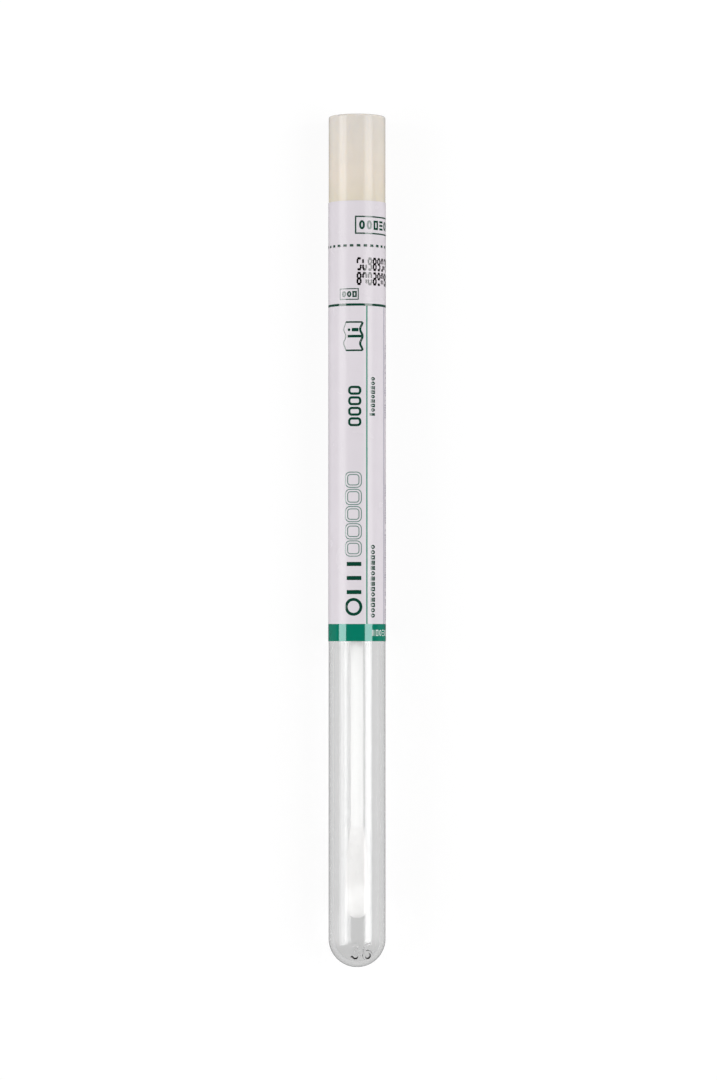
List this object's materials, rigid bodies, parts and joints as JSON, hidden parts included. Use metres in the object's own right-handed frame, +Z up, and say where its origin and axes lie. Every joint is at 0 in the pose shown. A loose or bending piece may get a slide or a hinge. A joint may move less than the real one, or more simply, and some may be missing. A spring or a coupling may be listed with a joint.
{
  "type": "specimen swab tube",
  "caption": "Round-bottomed clear tube with a printed wrap label, closed by an ivory plug cap that carries a fibre-tipped swab stick; the cap pulls out.",
  "frame": {"origin": "middle of the lying tube's length and width, on the surface on which it rests", "axes": "+Y along the tube from its round foot to its cap, +Z up out of the front of the label, +X to the right of the front with the cap at the top"},
  "size_m": [0.012, 0.1782, 0.012],
  "materials": {
    "clear_plastic": "clear moulded polystyrene, polished",
    "ivory_plastic": "natural ivory polyethylene, satin",
    "white_plastic": "white moulded plastic, satin",
    "rayon_fibre": "wound white fibre",
    "label_film": "white printed film, gloss varnish"
  },
  "bodies": {
    "tube": {"tube": "clear_plastic", "label": "label_film"},
    "swab": {"cap": "ivory_plastic", "swab_stick": "white_plastic", "swab_bud": "rayon_fibre", "label_seal": "label_film"}
  },
  "joints": [
    {"name": "swab_pull", "type": "slide", "parent": "tube", "child": "swab", "axis": [0, 1, 0], "range_m": [0, 0.15]}
  ]
}
